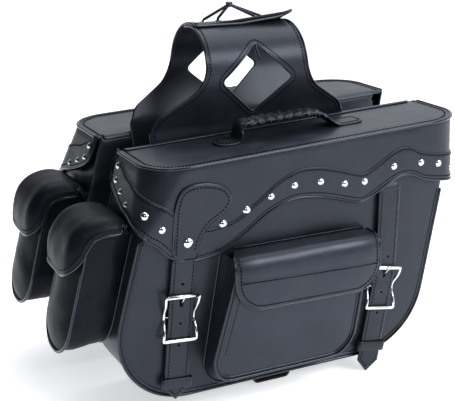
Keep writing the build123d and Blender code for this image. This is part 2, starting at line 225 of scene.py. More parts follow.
MATERIALS = {
    "body_leather": leather((0.0090, 0.0098, 0.0135), 0.38),
    # lid top and hinge strip: painted light, a lighter copy of the body leather for the faces turned up to
    # the lamps
    "lid_leather": leather((0.0150, 0.0165, 0.0230), 0.37),
    "pocket_leather": leather((0.0100, 0.0110, 0.0155), 0.38, shine=0.42),
    # end pocket and end flap: painted shade, a darker and duller copy of the leather for the faces turned
    # away from the lamps
    "end_leather_painted_shade": leather((0.0048, 0.0053, 0.0080), 0.40, coat=0.03, shine=0.11),
    "strap_leather": leather((0.0095, 0.0102, 0.0140), 0.40),
    "handle_leather": leather((0.010, 0.010, 0.012), 0.40, grain=1.6),
    "yoke_leather": leather((0.0095, 0.0105, 0.0150), 0.43, shine=0.33),
    "piping": leather((0.0060, 0.0065, 0.0090), 0.17, grain=0.25, coat=0.35, shine=0.34),
    "lace_leather": leather((0.012, 0.012, 0.014), 0.33, grain=0.5, coat=0.4),
    "chrome": metal((0.86, 0.87, 0.89), 0.09),
    "snap_metal": metal((0.50, 0.51, 0.53), 0.24),
    "thread": thread_material((0.0012, 0.0012, 0.0015)),
    "webbing": webbing_material((0.012, 0.012, 0.014)),
}
for name, material in MATERIALS.items():
    material.name = name


# ---- flat drawing ----
def rounded(corners, closed=True, lines=12, arcs=8):
    """Dense outline through (u, v, radius) corners, with the same count on every line and arc."""
    pts, n = [], len(corners)
    runs = []
    for i, (x, y, r) in enumerate(corners):
        p = np.array([x, y], float)
        if r <= 0 or (not closed and i in (0, n - 1)):
            runs.append([p])
            continue
        a = np.array(corners[i - 1][:2], float) - p
        b = np.array(corners[(i + 1) % n][:2], float) - p
        a, b = a / np.linalg.norm(a), b / np.linalg.norm(b)
        half = math.acos(max(-1.0, min(1.0, float(a @ b)))) / 2
        reach = r / math.tan(half)
        middle = p + (a + b) / np.linalg.norm(a + b) * r / math.sin(half)
        start, end = p + a * reach - middle, p + b * reach - middle
        sweep_angle = math.atan2(start[0] * end[1] - start[1] * end[0], float(start @ end))
        arc = []
        for k in range(arcs + 1):
            t = sweep_angle * k / arcs
            c, s = math.cos(t), math.sin(t)
            arc.append(middle + (start[0] * c - start[1] * s, start[0] * s + start[1] * c))
        runs.append(arc)
    for i, run in enumerate(runs):
        pts += run
        if closed or i < n - 1:
            a, b = run[-1], runs[(i + 1) % n][0]
            pts += [a + (b - a) * k / lines for k in range(1, lines)]
    return np.array(pts)


def box(left, low, right, high, radius=0, **settings):
    """Outline of an upright rectangle."""
    corners = [(left, low, radius), (right, low, radius), (right, high, radius), (left, high, radius)]
    return rounded(corners, **settings)


def columns(*parts):
    return np.stack(parts, -1)


def level(z, start, end, count):
    """Points on a level line."""
    return columns(np.linspace(start, end, count), np.full(count, float(z)))


def full_turn(count):
    return np.arange(count) * 2 * math.pi / count


def unit(vectors):
    return vectors / np.maximum(np.linalg.norm(vectors, axis=1, keepdims=True), 1e-9)


def tangents(p, closed=False):
    return unit(np.roll(p, -1, 0) - np.roll(p, 1, 0) if closed else np.gradient(p, axis=0))


def smooth_curve(points, count=8):
    """Catmull-Rom curve through the points."""
    p = np.array(points, float)
    q = np.vstack([2 * p[0] - p[1], p, 2 * p[-1] - p[-2]])
    out = []
    for i in range(1, len(q) - 2):
        for t in np.arange(count) / count:
            out.append(0.5 * (2 * q[i] + (q[i + 1] - q[i - 1]) * t
                              + (2 * q[i - 1] - 5 * q[i] + 4 * q[i + 1] - q[i + 2]) * t**2
                              + (3 * q[i] - q[i - 1] - 3 * q[i + 1] + q[i + 2]) * t**3))
    return np.array(out + [p[-1]])


def lengths(p):
    return np.concatenate([[0], np.cumsum(np.linalg.norm(np.diff(p, axis=0), axis=1))])


def interpolated(at, s, p):
    """Rows of p, which are known at s, worked out at other values of s."""
    return columns(*[np.interp(at, s, column) for column in p.T])


def along(p, s):
    """Points at distances s along the polyline p."""
    return interpolated(s, lengths(p), p)


def resample(p, step):
    total = lengths(p)[-1]
    return along(p, np.linspace(0, total, max(2, int(round(total / step)) + 1)))


def close(p):
    return np.vstack([p, p[:1]])


def offset(p, distance, closed=False):
    """Polyline moved to its left by distance, in its plane."""
    tangent = tangents(p, closed)
    return p + columns(-tangent[:, 1], tangent[:, 0]) * distance


def inside(points, loops):
    """Even-odd test against closed loops."""
    odd = np.zeros(len(points), bool)
    for loop in loops:
        a, b = loop, np.roll(loop, -1, 0)
        y = points[:, 1:2]
        spans = (a[:, 1] > y) != (b[:, 1] > y)
        with np.errstate(divide="ignore", invalid="ignore"):
            cross = (b[:, 0] - a[:, 0]) * (y - a[:, 1]) / (b[:, 1] - a[:, 1]) + a[:, 0]
        odd ^= (np.sum(spans & (points[:, 0:1] < cross), axis=1) % 2).astype(bool)
    return odd


def edge_distance(points, loops):
    best = np.full(len(points), 1e9)
    for loop in loops:
        a, ab = loop, np.roll(loop, -1, 0) - loop
        size = np.maximum(np.sum(ab**2, axis=1), 1e-12)
        for start in range(0, len(points), 2000):
            p = points[start:start + 2000, None, :]
            t = np.clip(np.sum((p - a) * ab, axis=2) / size, 0, 1)
            near = np.min(np.linalg.norm(p - a - t[..., None] * ab, axis=2), axis=1)
            best[start:start + 2000] = np.minimum(best[start:start + 2000], near)
    return best


# ---- laying a flat drawing on a surface ----
def lift(surface, uv, h):
    """Points at height h over the surface; surface turns (u, v) into (x, d, z)."""
    e = 0.3
    u, v = uv[:, 0], uv[:, 1]
    du = surface(u + e, v) - surface(u - e, v)
    dv = surface(u, v + e) - surface(u, v - e)
    normal = unit(np.cross(dv, du)) * getattr(surface, "side", 1)
    return surface(u, v) + normal * np.asarray(h)[..., None]


def turned(surface):
    """The same surface with its outer side the other way."""
    surface.side = -1
    return surface


def raised(surface, height):
    """Surface moved outwards by height(u, v)."""
    def moved(u, v):
        return lift(surface, columns(u, v), height(u, v))
    moved.side = getattr(surface, "side", 1)
    return moved


def ridge(x, width):
    return np.exp(-(x / width) ** 2)


def creases(size, scale, edge, start=0):
    """Relief of soft leather, the same every run, that fades out towards the piece's edge."""
    def relief(uv, d):
        u, v = uv[:, 0] / scale, uv[:, 1] / scale
        wave = (np.sin(1.3 * u + 0.7 * v + 0.4) + np.sin(-0.9 * u + 1.6 * v + 1.9)
                + np.sin(2.3 * u + 0.3 * v + 4.1) * 0.6 + np.sin(0.5 * u - 2.6 * v + 2.7) * 0.5)
        return size * wave / 3 * np.clip((d - start) / edge, 0, 1)
    return relief


def plate(surface, outline, thick, base=0.0, puff=0.0, width=30.0, roll=1.1, spacing=6.0, holes=(),
          relief=None):
    """Closed leather sheet: the outline laid on the surface, rounded at its edges and puffed between them."""
    loops = [outline, *holes]
    points = list(loops)
    for loop in loops:
        for inset in (0.25 * roll, roll):
            for sign in (1, -1):
                ring = offset(loop, sign * inset, closed=True)
                keep = inside(ring, loops) & (edge_distance(ring, loops) > inset * 0.8)
                points.append(ring[keep])
    low, high = outline.min(0), outline.max(0)
    rows = np.arange(low[1], high[1], spacing * 0.87)
    grid = np.array([(x + (j % 2) * spacing / 2, y) for j, y in enumerate(rows)
                     for x in np.arange(low[0], high[0], spacing)])
    grid = grid[inside(grid, loops)]
    points.append(grid[edge_distance(grid, loops) > roll + 0.4 * spacing])
    flat = np.vstack(points)
    edges, first = [], 0
    for loop in loops:
        n = len(loop)
        edges += [(first + i, first + (i + 1) % n) for i in range(n)]
        first += n
    made = geometry.delaunay_2d_cdt([Vector(p) for p in flat], edges, [], 0, 1e-5)
    uv = np.array([tuple(v) for v in made[0]])
    tris = np.array([f for f in made[2] if len(f) == 3])
    tris = tris[inside(uv[tris].mean(1), loops)]
    dist = edge_distance(uv, loops)
    e = np.clip(dist / roll, 0, 1)
    top = thick - min(roll, 0.8 * thick) * (1 - np.sqrt(1 - (1 - e) ** 2))
    s = np.clip(dist / width, 0, 1)
    top = top + puff * (1 - (1 - s) ** 2)
    if relief is not None:
        top = top + relief(uv, dist)
    verts = np.vstack([lift(surface, uv, base + top), lift(surface, uv, np.full(len(uv), float(base)))])
    n = len(uv)
    sides = dict.fromkeys((t[i - 1], t[i]) for t in tris for i in (1, 2, 0))
    faces = [tuple(t) for t in tris] + [tuple(t[::-1] + n) for t in tris]
    faces += [(b, a, a + n, b + n) for a, b in sides if (b, a) not in sides]
    rim = np.tile(np.clip(1 - dist / 2.2, 0, 1), 2)
    return verts, faces, rim


def ring_faces(rings, size, closed=False):
    """Quads that join neighbouring rings."""
    faces = []
    for i in range(rings if closed else rings - 1):
        a, b = i * size, (i + 1) % rings * size
        faces += [(a + j, a + (j + 1) % size, b + (j + 1) % size, b + j) for j in range(size)]
    return faces


def loft(rings, closed=False):
    """Shape through rings of equal size, capped at both ends unless it closes on itself."""
    n, m = len(rings), len(rings[0])
    faces = ring_faces(n, m, closed)
    if not closed:
        faces += [tuple(range(m))[::-1], tuple((n - 1) * m + j for j in range(m))]
    return np.vstack(rings), faces, np.zeros(n * m)


def sweep(points, radius, sides=8, closed=False):
    """Tube along 3-D points, narrower at its open ends."""
    p = np.asarray(points, float)
    tangent = tangents(p, closed)
    normal = np.zeros_like(p)
    seed = np.array((0, 0, 1) if abs(tangent[0][2]) < 0.9 else (1, 0, 0), float)
    for i in range(len(p)):
        seed = seed - tangent[i] * (seed @ tangent[i])
        seed /= np.linalg.norm(seed)
        normal[i] = seed
    radius = np.broadcast_to(np.asarray(radius, float), (len(p),)).copy()
    if not closed:
        radius[[0, -1]] *= 0.6
    angle = full_turn(sides)[None, :, None]
    across = np.cos(angle) * np.cross(tangent, normal)[:, None] + np.sin(angle) * normal[:, None]
    return loft(p[:, None] + radius[:, None, None] * across, closed)


def stitch_run(surface, path, h, pitch=4.8, length=3.3, width=0.95):
    """Row of sewn stitches on a surface, along a path drawn flat."""
    fine = resample(np.asarray(path, float), 1.5)
    space = lift(surface, fine, np.full(len(fine), float(h)))
    above = lift(surface, fine, np.full(len(fine), h + 1.0)) - space
    total = lengths(space)[-1]
    at = np.arange(pitch / 2, total - pitch / 2, pitch)
    centre = along(space, at)
    normal = unit(interpolated(at, lengths(space), above))
    tangent = unit(along(space, at + 0.8) - along(space, at - 0.8))
    side = np.cross(tangent, normal)
    rings = []
    for share, size in ((-0.5, 0.45), (-0.3, 1.0), (0.3, 1.0), (0.5, 0.45)):
        for j in range(6):
            a = j * math.pi / 3
            rings.append(centre + tangent * share * length
                         + side * math.cos(a) * width * size
                         + normal * (math.sin(a) * 0.8 * size - 0.25) * width)
    verts = np.stack(rings, 1)
    quads = ring_faces(4, 6) + [(5, 4, 3, 2, 1, 0), (18, 19, 20, 21, 22, 23)]
    faces = [tuple(24 * i + k for k in q) for i in range(len(at)) for q in quads]
    return verts.reshape(-1, 3), faces, np.zeros(24 * len(at))


def lathe(profile, sides=24):
    """Solid of revolution about +z from (radius, height) points; the ends lie on the axis."""
    rings = [[(r * math.cos(a), r * math.sin(a), h) for a in full_turn(sides)] for r, h in profile[1:-1]]
    verts = [(0, 0, profile[0][1])] + [p for ring in rings for p in ring] + [(0, 0, profile[-1][1])]
    last = len(verts) - 1
    faces = [(0, 1 + (j + 1) % sides, 1 + j) for j in range(sides)]
    faces += [tuple(k + 1 for k in face) for face in ring_faces(len(rings), sides)]
    a = 1 + (len(rings) - 1) * sides
    faces += [(a + j, a + (j + 1) % sides, last) for j in range(sides)]
    return np.array(verts, float), faces, np.zeros(len(verts))


def merged(parts):
    """Several parts as one mesh."""
    verts, faces, rims, first = [], [], [], 0
    for v, f, r in parts:
        verts.append(v)
        faces += [tuple(int(i) + first for i in face) for face in f]
        rims.append(r)
        first += len(v)
    return np.vstack(verts), faces, np.concatenate(rims)


def build(name, part, side, body, finish, cad=(), blended=None):
    """Turns a part, which is vertices, faces and edge wear, into an object on its body."""
    verts, faces, rim = part
    mesh = bpy.data.meshes.new(name)
    mesh.from_pydata([tuple(v) for v in to_world(verts, side)], [], faces)
    mesh.validate()
    attribute = mesh.attributes.new("rim", "FLOAT", "POINT")
    attribute.data.foreach_set("value", rim.astype(np.float32))
    work = bmesh.new()
    work.from_mesh(mesh)
    bmesh.ops.recalc_face_normals(work, faces=work.faces)
    work.to_mesh(mesh)
    work.free()
    mesh.shade_smooth()
    mesh.materials.append(MATERIALS[finish])
    obj = add_object(name, mesh)
    if blended:
        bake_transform(obj)
    else:
        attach(obj, body)
    if cad:
        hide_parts(*cad)
    return obj


# ---- the bag's surfaces ----
def lid_z(x):
    return LID_DATUM + LID_SLOPE * x


def body_left(z):
    return -199 + 0.26 * z


def body_right(z):
    return 264 + 0.17 * z


def lid_surface(drop):
    """Plane below the lid's top, drawn as (x, depth)."""
    return turned(lambda u, v: columns(u, v, lid_z(u) - drop))


def upright(depth):
    """Vertical plane at a depth, drawn as (x, z) and facing outwards."""
    return lambda u, v: columns(u, np.full_like(u, depth), v)


def flat_back(depth):
    """Vertical plane at a depth, drawn as (-x, z) and facing inwards."""
    return lambda u, v: columns(-u, np.full_like(u, depth), v)


def wall(path):
    """Surface whose u runs along an (x, z) path and whose v is depth."""
    def surface(u, v):
        p = along(path, u)
        return columns(p[:, 0], v, p[:, 1])
    return surface


# lid skirt: u runs from the front end's back, round two rounded corners, to the rear end's
END_RUN, CORNER_RUN, FRONT_RUN = 110.0, 50.0, 420.0


def skirt_left(z):
    return -205 + 0.33 * z


def skirt_right(z):
    return 284 + 0.13 * z


def skirt_radius(z):
    return 4 + 61 * (z + 135) / 165


def skirt(u, z):
    left, right, r = skirt_left(z), skirt_right(z), skirt_radius(z)
    mirror_half = u > FRONT_RUN / 2
    w = np.where(mirror_half, FRONT_RUN - u, u)
    turn = np.clip(-w / CORNER_RUN, 0, 1) * math.pi / 2
    back = np.maximum((-w - CORNER_RUN) / END_RUN, 0)
    straight = np.maximum(w, 0) / FRONT_RUN * (right - left - 2 * r)
    x = r - r * np.sin(turn) + straight
    d = SKIRT_DEPTH - r + r * np.cos(turn) - back * (SKIRT_DEPTH - r - SKIRT_BACK)
    return columns(np.where(mirror_half, right - x, left + x), d, z)


def skirt_u(x, z):
    """Where an x on the front of the skirt lies along u."""
    left, right, r = skirt_left(z), skirt_right(z), skirt_radius(z)
    straight = (x - left - r) / (right - left - 2 * r) * FRONT_RUN
    if x < left + r:
        return -math.asin(min(1.0, (left + r - x) / r)) / (math.pi / 2) * CORNER_RUN
    if x > right - r:
        return FRONT_RUN + math.asin(min(1.0, (x - right + r) / r)) / (math.pi / 2) * CORNER_RUN
    return straight


def skirt_end_u(d, z):
    reach = SKIRT_DEPTH - skirt_radius(z)
    if d > reach:
        return -math.acos(min(1.0, (d - reach) / skirt_radius(z))) / (math.pi / 2) * CORNER_RUN
    return -CORNER_RUN - (reach - d) / (reach - SKIRT_BACK) * END_RUN


SKIRT_EDGE = [(-210, -98), (-183, -122), (-157, -129), (-133, -128), (-96, -117),
              (-51, -84), (-5, -66), (43, -69), (84, -80), (110, -84), (143, -68), (168, -56),
              (194, -56), (231, -69)]
END_EDGE = [(44, -2), (46, -36), (62, -50), (90, -61), (118, -69), (136, -71)]
WAVE = smooth_curve([(skirt_end_u(d, z), z) for d, z in END_EDGE]
                    + [(skirt_u(x, z), z) for x, z in SKIRT_EDGE]
                    + [(FRONT_RUN - skirt_end_u(d, z - 2), z - 4) for d, z in END_EDGE[::-1]], 8)

BODY_PATH = rounded([(body_left(-6), -6, 0), (body_left(-325), -325, 95), (body_right(-325), -325, 105),
                     (body_right(5), 5, 0)], closed=False, lines=40, arcs=14)
POCKET_BASE = rounded([(-110, -126, 0), (-141, -318, 30), (92, -318, 40), (118, -126, 0)], closed=False,
                      lines=24, arcs=10)
POCKET_FACE = rounded([(-101, -136, 0), (-146, -298, 28), (78, -298, 45), (102, -136, 0)], closed=False,
                      lines=24, arcs=10)
# sections of the pocket flaps: (depth, z) in front, (distance off the bag's end, z) at the end
FLAP_PROFILE = smooth_curve([(174.6, -123.2), (182, -123.5), (191, -125), (199.5, -129.5), (205, -137.5),
                             (207.3, -149), (208, -166), (207.6, -186), (206.5, -205)])
END_FACE = rounded([(48, -91, 0), (43, -252, 44), (139, -252, 40), (136, -91, 0)], closed=False,
                   lines=16, arcs=12)
END_FLAP = smooth_curve([(17, -74.6), (32, -73.4), (50, -73.8), (64, -78), (73, -87), (78, -100),
                         (79.5, -118), (78, -143)])


def profile_surface(profile, place):
    """Surface whose v runs along a profile; place turns (u, profile point) into (x, d, z)."""
    total = lengths(profile)[-1]

    def surface(u, v):
        end = (profile[-1] - profile[-2]) / np.linalg.norm(profile[-1] - profile[-2])
        beyond = np.maximum(v - total, 0)
        return place(u, along(profile, np.clip(v, 0, total)) + beyond[:, None] * end)
    return surface


def crosswise(u, p):
    """Places a (depth, z) profile at x = u."""
    return columns(u, p[:, 0], p[:, 1])


def pocket_flap_crown(u, v):
    return -3.0 * np.clip(np.abs(u - 6) / 113, 0, 1.1) ** 6


# the end flap is flat in its middle and bends down over both sides
END_MIDDLE, END_FLAT, END_BEND = 91.0, 33.0, 20.0


def end_flap_bend(u):
    return np.maximum(np.abs(u - END_MIDDLE) - END_FLAT, 0) / END_BEND


def end_flap_drop(u, v):
    return -END_BEND * (1 - np.cos(end_flap_bend(u)))


def end_flap_place(u, p):
    reach = np.minimum(np.abs(u - END_MIDDLE), END_FLAT) + END_BEND * np.sin(end_flap_bend(u))
    return columns(body_left(p[:, 1]) - p[:, 0], END_MIDDLE + np.sign(u - END_MIDDLE) * reach, p[:, 1])


pocket_flap_surface = raised(turned(profile_surface(FLAP_PROFILE, crosswise)), pocket_flap_crown)
end_flap_surface = raised(turned(profile_surface(END_FLAP, end_flap_place)), end_flap_drop)


def end_surface(height):
    """Plane parallel to the bag's front end, drawn as (d, z)."""
    return lambda u, v: columns(body_left(v) - height, u, v)


def ruled(near, away, near_depth, away_depth, place=None):
    """Gusset between two outlines that have the same count; v runs outwards from 0 to 100."""
    s = lengths(near)

    def surface(u, v):
        share = (v / 100)[:, None]
        a, b = interpolated(u, s, near), interpolated(u, s, away)
        p = a + (b - a) * share
        depth = near_depth + (away_depth - near_depth) * share[:, 0]
        return place(p, depth) if place else columns(p[:, 0], depth, p[:, 1])
    return surface


pieces, threads = [], {}


def piece(name, part, body, finish, stands_for=None):
    """A piece of both bags; stands_for names the CAD node that it replaces."""
    pieces.append((name, part, body, finish, stands_for))


def solid(name, part, body, finish):
    """A piece that replaces the CAD node of the same name."""
    piece(name, part, body, finish, name)


def sheet(name, body, finish, surface, outline, thick, **settings):
    """A solid leather sheet on a surface."""
    solid(name, plate(surface, outline, thick, **settings), body, finish)


def sew(body, surface, path, h, **settings):
    threads.setdefault(body, []).append(stitch_run(surface, path, h, **settings))


def pipe(surface, path, h, radius, **settings):
    fine = resample(np.asarray(path, float), 3.0)
    return sweep(lift(surface, fine, np.full(len(fine), float(h))), radius, **settings)


def trim(name, body, *pipes):
    piece(name, merged(pipes), body, "piping")


# ---- bag body ----
def make_body():
    top = [(x, lid_z(x) - 6) for x in np.linspace(230, -150, 40)]
    left_cut = [(-163, -8), (body_left(-95), -95)]
    keep = BODY_PATH[(BODY_PATH[:, 1] < -95) | ((BODY_PATH[:, 0] > 0) & (BODY_PATH[:, 1] < -70))]
    outline = np.vstack([keep, [(body_right(-8) - 16, 6)], top, left_cut])
    sheet("front_panel", "bag", "body_leather", upright(FRONT_DEPTH), outline[::-1], WALL, puff=2.0,
          width=70, roll=2, spacing=9, relief=creases(0.35, 26, 30))
    total = lengths(BODY_PATH)[-1]
    strip = rounded([(0, BACK_DEPTH, 0), (total, BACK_DEPTH, 0), (total, 150, 0), (total - 70, 162, 0),
                     (95, 162, 0), (0, 127, 0)], lines=60)
    sheet("gusset", "bag", "body_leather", wall(BODY_PATH), strip, WALL, base=-WALL, puff=1.5, width=40,
          spacing=9, relief=creases(0.9, 21, 25))
    seam = BODY_PATH[(BODY_PATH[:, 1] < -92) | ((BODY_PATH[:, 0] > 0) & (BODY_PATH[:, 1] < -80))]
    solid("body_piping", pipe(upright(FRONT_DEPTH), offset(seam, -1.7), 1.6, 2.4), "bag", "piping")
    back = np.vstack([BODY_PATH, [(x, lid_z(x) - 6) for x in np.linspace(255, -195, 60)]])

    def rebate(uv, d):
        """The panel is thinner above z = -60, where the yoke's flange lies on it."""
        return 3 * np.clip((-60 - uv[:, 1]) / 3, 0, 1)

    sheet("back_panel", "bag", "body_leather", flat_back(BACK_DEPTH), back * (-1, 1), 2, roll=1, spacing=9,
          relief=rebate)
    trim("body_welt", "bag", pipe(upright(FRONT_DEPTH), offset(seam, 4.2), 2.9, 1.5))


# ---- lid ----
BAND_WIDTH = 41  # sewn band with the studs, along the skirt's lower edge


def make_lid():
    plan = rounded([(-206, 44, 3), (286, 44, 3), (286, 170.5, 60), (-207, 170.5, 53)], lines=50, arcs=14)
    soft = creases(0.3, 30, 25)

    def relief(uv, d):
        """Soft leather with a groove along the edge's stitches."""
        return soft(uv, d) - 0.8 * ridge(d - 9, 1.6)

    top = lid_surface(5)
    sheet("lid_top", "lid", "lid_leather", top, plan, 5, puff=0.3, width=50, roll=2, spacing=9, relief=relief)
    rim = rounded([(-206, 44, 0), (-207, 170.5, 53), (286, 170.5, 60), (286, 44, 0)], closed=False,
                  lines=50, arcs=14)
    sew("lid", top, offset(rim, -7.5), 5.5)
    us = np.linspace(-CORNER_RUN - END_RUN, FRONT_RUN + CORNER_RUN + END_RUN, 220)
    tops = np.array([(u, lid_z(skirt(np.array([u]), np.array([0.0]))[0][0]) - 2.5) for u in us])
    outline = np.vstack([WAVE, tops[::-1]])
    sheet("lid_skirt", "lid", "body_leather", skirt, outline, SKIRT_WALL, base=-SKIRT_WALL, roll=1,
          spacing=8, relief=creases(0.5, 28, 20, start=42))
    low = smooth_curve(WAVE[::6], 6)
    high = np.minimum(low[:, 1] + BAND_WIDTH, np.interp(low[:, 0], tops[:, 0], tops[:, 1]) - 6)
    band_low, band_top = low[10:-10], columns(low[:, 0], high)[10:-10]
    band = np.vstack([band_low, band_top[::-1]])
    piece("stud_band", plate(skirt, band, 1.6, base=-0.2, roll=1.2, spacing=8), "lid", "body_leather")
    sew("lid", skirt, offset(band_top, -3.8), 1.6)
    sew("lid", skirt, offset(band_low, 5.5), 1.6)
    trim("skirt_piping", "lid", pipe(skirt, low, 0.6, 2.2), pipe(skirt, tops[2:-2] + (0, 1.5), 0.4, 2.5))


def make_rear_strap_root():
    """Upper end of the rear strap, sewn behind the lid's skirt."""
    bend = smooth_curve([(172.9, -75), (171.6, -69), (168.6, -63.5), (166.6, -56), (166.3, -38)])
    surface = profile_surface(bend, lambda u, p: crosswise(u + 0.02 * (p[:, 1] + 73), p))
    root = plate(surface, box(136.6, 0, 171.4, 37, lines=8), 2.4, base=-1.2, roll=0.8, spacing=5)
    piece("rear_strap_root", root, "lid", "strap_leather")


def make_strap_base():
    """Teardrop of leather over the front strap's top."""
    crown = smooth_curve([(-181, -91), (-177, -55), (-166, -32), (-138, -27), (-109, -35), (-98, -52),
                          (-107, -68), (-129, -82), (-142, -98), (-147.7, -114)])
    outline = np.vstack([crown, [(-148.2, -120), (-148.6, -127)],
                         [(-148.6 - t * 34.8, -127 + t * 3) for t in (0.2, 0.4, 0.6, 0.8)],
                         [(-183.4, -124), (-182.5, -113), (-181.8, -102)]])
    surface = upright(SKIRT_DEPTH)
    piece("strap_base", plate(surface, outline[::-1], 2.6, base=0.6, roll=1.2, spacing=5),
          "lid", "strap_leather", "front_strap_base")
    border = resample(np.vstack([[(-182.5, -118)], crown, [(-148.4, -120)]]), 3)
    sew("lid", surface, offset(border, -4.2), 3.5, pitch=5.0)
    trim("strap_base_piping", "lid", pipe(surface, offset(border, 0.2), 1.6, 1.6))
    dome = lathe([(0, -1), (7.2, -1), (7.2, 0.6), (6.4, 1.6), (4.6, 2.9), (2.4, 3.7), (0, 3.9)])
    verts = dome[0][:, [0, 2, 1]] * (1, 1, -1) + (-161, SKIRT_DEPTH + 3.6, -103)
    piece("strap_rivet", (verts, dome[1], dome[2]), "lid", "chrome")


# ---- straps ----
STRAPS = {
    "front": dict(top=(-166.3, -126.7), buckle=(-173.5, -206.0), lean=4.6, tip=119.0, keeper=94.0),
    "rear": dict(top=(154.0, -73.0), buckle=(147.5, -221.0), lean=9.4, tip=133.0, keeper=92.0),
}
BUCKLE_HALF, BUCKLE_WIDTH, BUCKLE_WAIST = 31.0, 24.0, 21.5
HOLE_RADIUS, SEAM_SHARE = 1.7, 0.74  # the seams run at this share of the strap's half width


def local(strap, points):
    """Strap points (u across, d, v up, from the buckle's centre) to bag coordinates."""
    a = math.radians(strap["lean"])
    p = np.asarray(points, float)
    x = strap["buckle"][0] + p[..., 0] * math.cos(a) + p[..., 2] * math.sin(a)
    z = strap["buckle"][1] - p[..., 0] * math.sin(a) + p[..., 2] * math.cos(a)
    return columns(x, p[..., 1], z)


def make_strap(end, strap):
    body = f"{end}_strap"
    a = math.radians(strap["lean"])
    dx, dz = strap["top"][0] - strap["buckle"][0], strap["top"][1] - strap["buckle"][1]
    rise = np.array([dx * math.cos(a) - dz * math.sin(a), dx * math.sin(a) + dz * math.cos(a)])
    across = np.array([rise[1], -rise[0]]) / np.linalg.norm(rise) * STRAP_WIDTH / 2
    low, high = rise - across, rise + across
    tip, half = -strap["tip"], STRAP_WIDTH / 2

    def surface(u, v):
        d = STRAP_DEPTH + 0.9 * ridge(v, 11) - 0.5 * ridge(np.abs(v) - 31, 9) - 0.02 * u**2 / half
        return local(strap, columns(u, d, v))

    outline = rounded([(*low, 2), (-half, BUCKLE_HALF, 0), (-half, tip + 17, 2), (0, tip, 1.5),
                       (half, tip + 17, 2), (half, BUCKLE_HALF, 0), (*high, 2)], lines=16, arcs=4)
    angle = full_turn(10)
    hole = HOLE_RADIUS * columns(np.cos(angle), np.sin(angle))
    holes = [hole + (0, v) for v in (47, -8, -40)]
    holes.append(box(-2.3, 15, 2.3, 25, 2, lines=3, arcs=3))
    sheet(body, body, "strap_leather", surface, outline, WALL, spacing=5, holes=holes)
    for s in (-SEAM_SHARE, SEAM_SHARE):
        rail = np.array([rise + across * s, (s * half, BUCKLE_HALF), (s * half, tip + 18.5), (0, tip + 6)])
        sew(body, surface, rail, 3.15, length=3.2, width=0.9)
    make_buckle(end, strap, body)
    make_keeper(end, strap, body)


def make_keeper(end, strap, body):
    """Leather loop under the buckle, swelling in the middle of its width."""
    band = box(-21.6, -3.4, 21.6, 3.6, 2.6, lines=6, arcs=5)
    loops = []
    for v, grow in ((-7, -0.7), (-7.4, 0.2), (-6, 1.1), (0, 1.5), (6, 1.1), (7.4, 0.2), (7, -0.7), (0, -0.7)):
        out = offset(band, -grow, closed=True)
        height = np.full(len(out), v - strap["keeper"])
        loops.append(local(strap, columns(out[:, 0], STRAP_DEPTH + 1.6 + out[:, 1], height)))
    solid(f"{end}_keeper", loft(loops, closed=True), body, "strap_leather")


def make_buckle(end, strap, body):
    """Bent wire frame with thicker end bars and a centre bar behind the strap."""
    front, behind = STRAP_DEPTH + 6.3, STRAP_DEPTH - 3.5
    side = smooth_curve([(BUCKLE_WIDTH, front, BUCKLE_HALF), (BUCKLE_WIDTH - 0.8, front - 1.5, 20),
                         (BUCKLE_WAIST + 0.4, behind + 1.5, 7), (BUCKLE_WAIST, behind, 0),
                         (BUCKLE_WAIST + 0.4, behind + 1.5, -7), (BUCKLE_WIDTH - 0.8, front - 1.5, -20),
                         (BUCKLE_WIDTH, front, -BUCKLE_HALF)], 5)
    loop = np.vstack([side, side[::-1] * (-1, 1, 1)])
    parts = [sweep(local(strap, resample(close(loop), 2.2)[:-1]), 2.1, sides=10, closed=True)]
    for v, r in ((BUCKLE_HALF, 3.0), (-BUCKLE_HALF, 2.5)):
        bar = [(u, front, v) for u in (-24, -22.5, -22, 0, 22, 22.5, 24)]
        parts.append(sweep(local(strap, bar), np.array([2.2, 2.4, r, r, r, 2.4, 2.2]), sides=12))
    parts.append(sweep(local(strap, [(-21, behind, 0), (0, behind, 0), (21, behind, 0)]), 1.5, sides=10))
    solid(f"{end}_buckle", merged(parts), body, "chrome")


# ---- pockets ----
def gusset_strip(path, lines):
    return box(0, 0, lengths(path)[-1], 100, lines=lines)


def gusset_relief(size, scale, bulge):
    """Creases, with the gusset bulging or sunken by bulge halfway out."""
    soft = creases(size, scale, 20)
    return lambda uv, d: soft(uv, d) + bulge * np.sin(np.clip(uv[:, 1] / 100, 0, 1) * math.pi)


def make_flap(end, body, finish, surface, corners, lines, piping, row, **settings):
    """Pocket flap, with piping and stitches round its free edges; row is (first v, height)."""
    outline, border = [rounded(corners, closed, lines, 12) for closed in (True, False)]
    sheet(f"{end}_pocket_flap", body, finish, surface, outline, WALL, **settings)
    trim(f"{end}_flap_piping", body, pipe(surface, offset(border, -0.3), 0.6, piping))
    seam = offset(border, FLAP_SEAM)
    sew(body, surface, seam[seam[:, 1] > row[0]], row[1])


